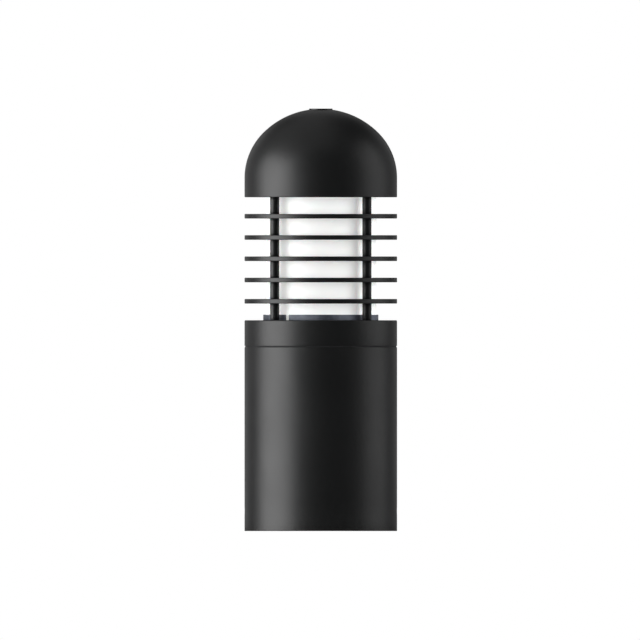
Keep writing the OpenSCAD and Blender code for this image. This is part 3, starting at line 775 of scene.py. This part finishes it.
pillar = {"lowerBore": 4.05 * mm, "lowerDeep": 16 * mm, "upperBore": 4.1 * mm, "upperDeep": 20 * mm,
          "cornerDrop": 0.8 * mm}


def makePillar():
    low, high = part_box("crown_pillar")
    corner, across = high.x, high.y
    bpy.ops.object.select_all(action="DESELECT")
    bpy.ops.mesh.primitive_cylinder_add(
        vertices=6, radius=corner, depth=high.z - low.z, location=(0, 0, (low.z + high.z) / 2),
        rotation=(0, 0, math.pi / 2))  # a corner faces X
    piece = bpy.context.object
    piece.name = piece.data.name = "crownPillar"
    placeInMesh(piece)
    rim, drop = corner + coneSpare, pillar["cornerDrop"]
    cone = turn("cone", [(0, low.z), (across, low.z), (rim, low.z + drop), (rim, high.z - drop),
                         (across, high.z), (0, high.z)], 64)
    combine(piece, cone, "INTERSECT")
    lowerDrill = cylinder(pillar["lowerBore"], low.z - past, low.z + pillar["lowerDeep"])
    combine(piece, lowerDrill, "DIFFERENCE")
    upperDrill = cylinder(pillar["upperBore"], high.z - pillar["upperDeep"], high.z + past)
    combine(piece, upperDrill, "DIFFERENCE")
    return settle(piece, "crown_pillar")


makeUpperPlate()
makeTieRods()
makeWashers()
makeNuts()
makePillar()
print("upper plate ready")


dome = {"wall": 3.5 * mm, "edge": 1 * mm, "crownFlat": 5.5 * mm, "shoulderIn": 13.5 * mm, "skirt": 21 * mm,
        "bossExtra": 4.3 * mm, "bossUp": 0.5 * mm, "headGap": 0.3 * mm, "bore": 4.1 * mm, "lip": 0.4 * mm,
        "ledge": 76.3 * mm, "ledgeHigh": 4 * mm, "ledgeSlope": 8 * mm}


def domeCurve(inset, spring):
    # the shoulder and crown arcs, each a wall's thickness in from the outside
    crown = bodyRadius + dome["crownFlat"]
    shoulder = bodyRadius - dome["shoulderIn"]
    drop = math.sqrt((crown - shoulder) ** 2 - dome["shoulderIn"] ** 2)
    meet = math.degrees(math.atan2(drop, dome["shoulderIn"]))
    side = arcPoints(dome["shoulderIn"], spring, shoulder - inset, 0, meet, 28)
    top = arcPoints(0, spring - drop, crown - inset, meet, 90, 24)
    return side + top[1:]


def upTo(curve, radius):
    # the part of a curve outside a radius, ended exactly on it
    kept = [point for point in curve if point[0] > radius]
    outside, inside = kept[-1], curve[len(kept)]
    share = (outside[0] - radius) / (outside[0] - inside[0])
    return kept + [(radius, outside[1] + share * (inside[1] - outside[1]))]


def makeDome():
    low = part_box("dome_cap")[0].z
    spring = low + dome["skirt"]
    inner = bodyRadius - dome["wall"]
    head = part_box("crown_bolt")[1].x + dome["headGap"]
    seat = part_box("crown_seal")[0].z
    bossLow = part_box("crown_clip")[1].z + dome["bossUp"]
    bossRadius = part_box("crown_bolt")[1].x + dome["bossExtra"]
    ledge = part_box("dome_gasket")[1].z
    edge, bore = dome["edge"], dome["bore"]
    outside = upTo(domeCurve(0, spring), head + dome["lip"])
    inside = upTo(domeCurve(dome["wall"], spring), bossRadius)
    lipTop = outside[-1][1]
    outline = [(inner, low), *arcPoints(bodyRadius - edge, low + edge, edge, -90, 0, 6), *outside,
               (head, lipTop - dome["lip"]), (head, seat), (bore, seat), (bore, bossLow),
               (bossRadius, bossLow), *reversed(inside), (inner, ledge + dome["ledgeSlope"]),
               (dome["ledge"], ledge + dome["ledgeHigh"]), (dome["ledge"], ledge), (inner, ledge)]
    return settle(turn("domeCap", outline, 192), "dome_cap")


crownBolt = {"shank": 4 * mm, "tip": 1 * mm, "neckIn": 0.7 * mm, "neckSpare": 0.1 * mm, "chamfer": 0.5 * mm,
             "pinHole": 1.6 * mm, "pinX": 6.5 * mm, "pinDepth": 2 * mm}


def makeCrownBolt():
    low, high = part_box("crown_bolt")
    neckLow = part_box("crown_clip")[0].z - crownBolt["neckSpare"]
    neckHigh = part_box("crown_clip")[1].z + crownBolt["neckSpare"]
    head, shank, tip, chamfer = high.x, crownBolt["shank"], crownBolt["tip"], crownBolt["chamfer"]
    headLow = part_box("crown_seal")[1].z
    neck = shank - crownBolt["neckIn"]
    outline = [(0, low.z), (shank - tip, low.z), (shank, low.z + tip),
               (shank, neckLow), (neck, neckLow), (neck, neckHigh), (shank, neckHigh),
               (shank, headLow), (head, headLow),
               *arcPoints(head - chamfer, high.z - chamfer, chamfer, 0, 90, 4), (0, high.z)]
    bolt = turn("crownBolt", outline, 96)
    drills = [cylinder(crownBolt["pinHole"], high.z - crownBolt["pinDepth"], high.z + past, x, 24)
              for x in (-crownBolt["pinX"], crownBolt["pinX"])]
    combine(bolt, join(drills, "drill"), "DIFFERENCE")
    return settle(bolt, "crown_bolt")


makeDome()
makeCrownBolt()
print("dome ready")


# the CAD nodes that still show get their finish
for name, node in frame["nodes"].items():
    if not node.hide_render:
        node.material_slots[0].material = looks[slotOf[name]]
print("inner pieces ready")


# a round sheet, open under the post so that the foot can be seen from below
floor = {"radius": 1.45, "open": 0.98, "colour": (0.9, 0.9, 0.9)}
bpy.ops.object.select_all(action="DESELECT")
bpy.ops.mesh.primitive_circle_add(
    vertices=128, radius=floor["radius"], fill_type="NOTHING", location=(0, 0, 0))
ground = bpy.context.object
ground.name = "floor"
inEdit(ground)
bpy.ops.mesh.select_all(action="SELECT")
bpy.ops.mesh.extrude_edges_move()
shrink = floor["open"] * bodyRadius / floor["radius"]
bpy.ops.transform.resize(value=(shrink, shrink, shrink), center_override=(0, 0, 0))
bpy.ops.mesh.select_all(action="SELECT")
bpy.ops.mesh.normals_make_consistent(inside=False)
leaveEdit()
ground.visible_glossy = False
ground.visible_shadow = False  # the softboxes reach below the floor and light the foot as well
paper = newMaterial("paleFloor", floor["colour"], 0.8)
feed(paper, "Roughness", effect(paper, patches, Scale=2.0, Low=0.75, High=0.85)["Value"])
ground.data.materials.append(paper)

# azimuths are measured from the camera's side, positive to the right, and places are in metres;
# the rear boxes are (azimuth, height, power) and the panels, which don't show as gloss, (azimuth, power)
studio = {"camera": {"width": 0.69222, "height": 0.22825, "side": -0.00087, "distance": 3.0},
          "backdrop": 1.0,  # what the camera sees behind
          "gloss": 0.03,  # what the surfaces see of it
          "key": {"azimuth": -72, "distance": 1.5, "wide": 1.5, "tall": 1.9, "height": 0.3, "power": 41},
          "fill": {"azimuth": 91, "distance": 1.5, "wide": 1.2, "tall": 2.1, "height": 0.75, "power": 7.4},
          "top": {"place": (-0.4, -0.1, 1.5), "wide": 2.0, "tall": 1.6, "power": 3.3},
          "rear": [(-150, 0.55, 1.4), (150, 0.55, 0.9), (180, 1.5, 0.9)],
          "rearBox": {"distance": 1.6, "wide": 0.8, "tall": 1.3},
          "panels": [(-30, 31), (60, 28), (90, 50), (150, 36), (210, 36)],
          "panel": {"distance": 2.5, "wide": 1.4, "tall": 1.4, "height": 0.65}}


def softbox(name, place, aim, wide, tall, power):
    bpy.ops.object.select_all(action="DESELECT")
    way = Vector(aim) - Vector(place)
    bpy.ops.object.light_add(type="AREA", location=place, rotation=way.to_track_quat("-Z", "Y").to_euler())
    light = bpy.context.object
    light.name = name
    light.data.shape = "RECTANGLE"
    light.data.size = wide
    light.data.size_y = tall
    light.data.energy = power
    light.visible_camera = False
    return light


def standing(name, azimuth, distance, wide, tall, height, power):
    way = math.radians(azimuth)
    place = (distance * math.sin(way), -distance * math.cos(way), height)
    return softbox(name, place, (0, 0, height), wide, tall, power)


standing("keyLight", **studio["key"])
standing("fillLight", **studio["fill"])
softbox("topLight", aim=(0, 0, 0.3), **studio["top"])
for azimuth, height, power in studio["rear"]:
    standing(f"rear{azimuth}", azimuth, height=height, power=power, **studio["rearBox"])
for azimuth, power in studio["panels"]:
    panel = standing(f"panel{azimuth}", azimuth, power=power, **studio["panel"])
    panel.visible_glossy = False

world = bpy.data.worlds.new("studio")
bpy.context.scene.world = world
world.use_nodes = True
sky = world.node_tree
sky.nodes["Background"].inputs["Color"].default_value = (1, 1, 1, 1)
seen = sky.nodes.new("ShaderNodeLightPath").outputs["Is Camera Ray"]
level = mapRange(sky.nodes, sky.links, seen, 0.0, 1.0, studio["gloss"], studio["backdrop"])
sky.links.new(level, sky.nodes["Background"].inputs["Strength"])

shot = studio["camera"]
bpy.ops.object.camera_add(
    location=(shot["side"], -shot["distance"], shot["height"]), rotation=(math.radians(90), 0, 0))
camera = bpy.context.object
camera.data.type = "ORTHO"
camera.data.ortho_scale = shot["width"]
bpy.context.scene.camera = camera
bpy.context.scene.view_settings.view_transform = "Standard"
print("studio ready")
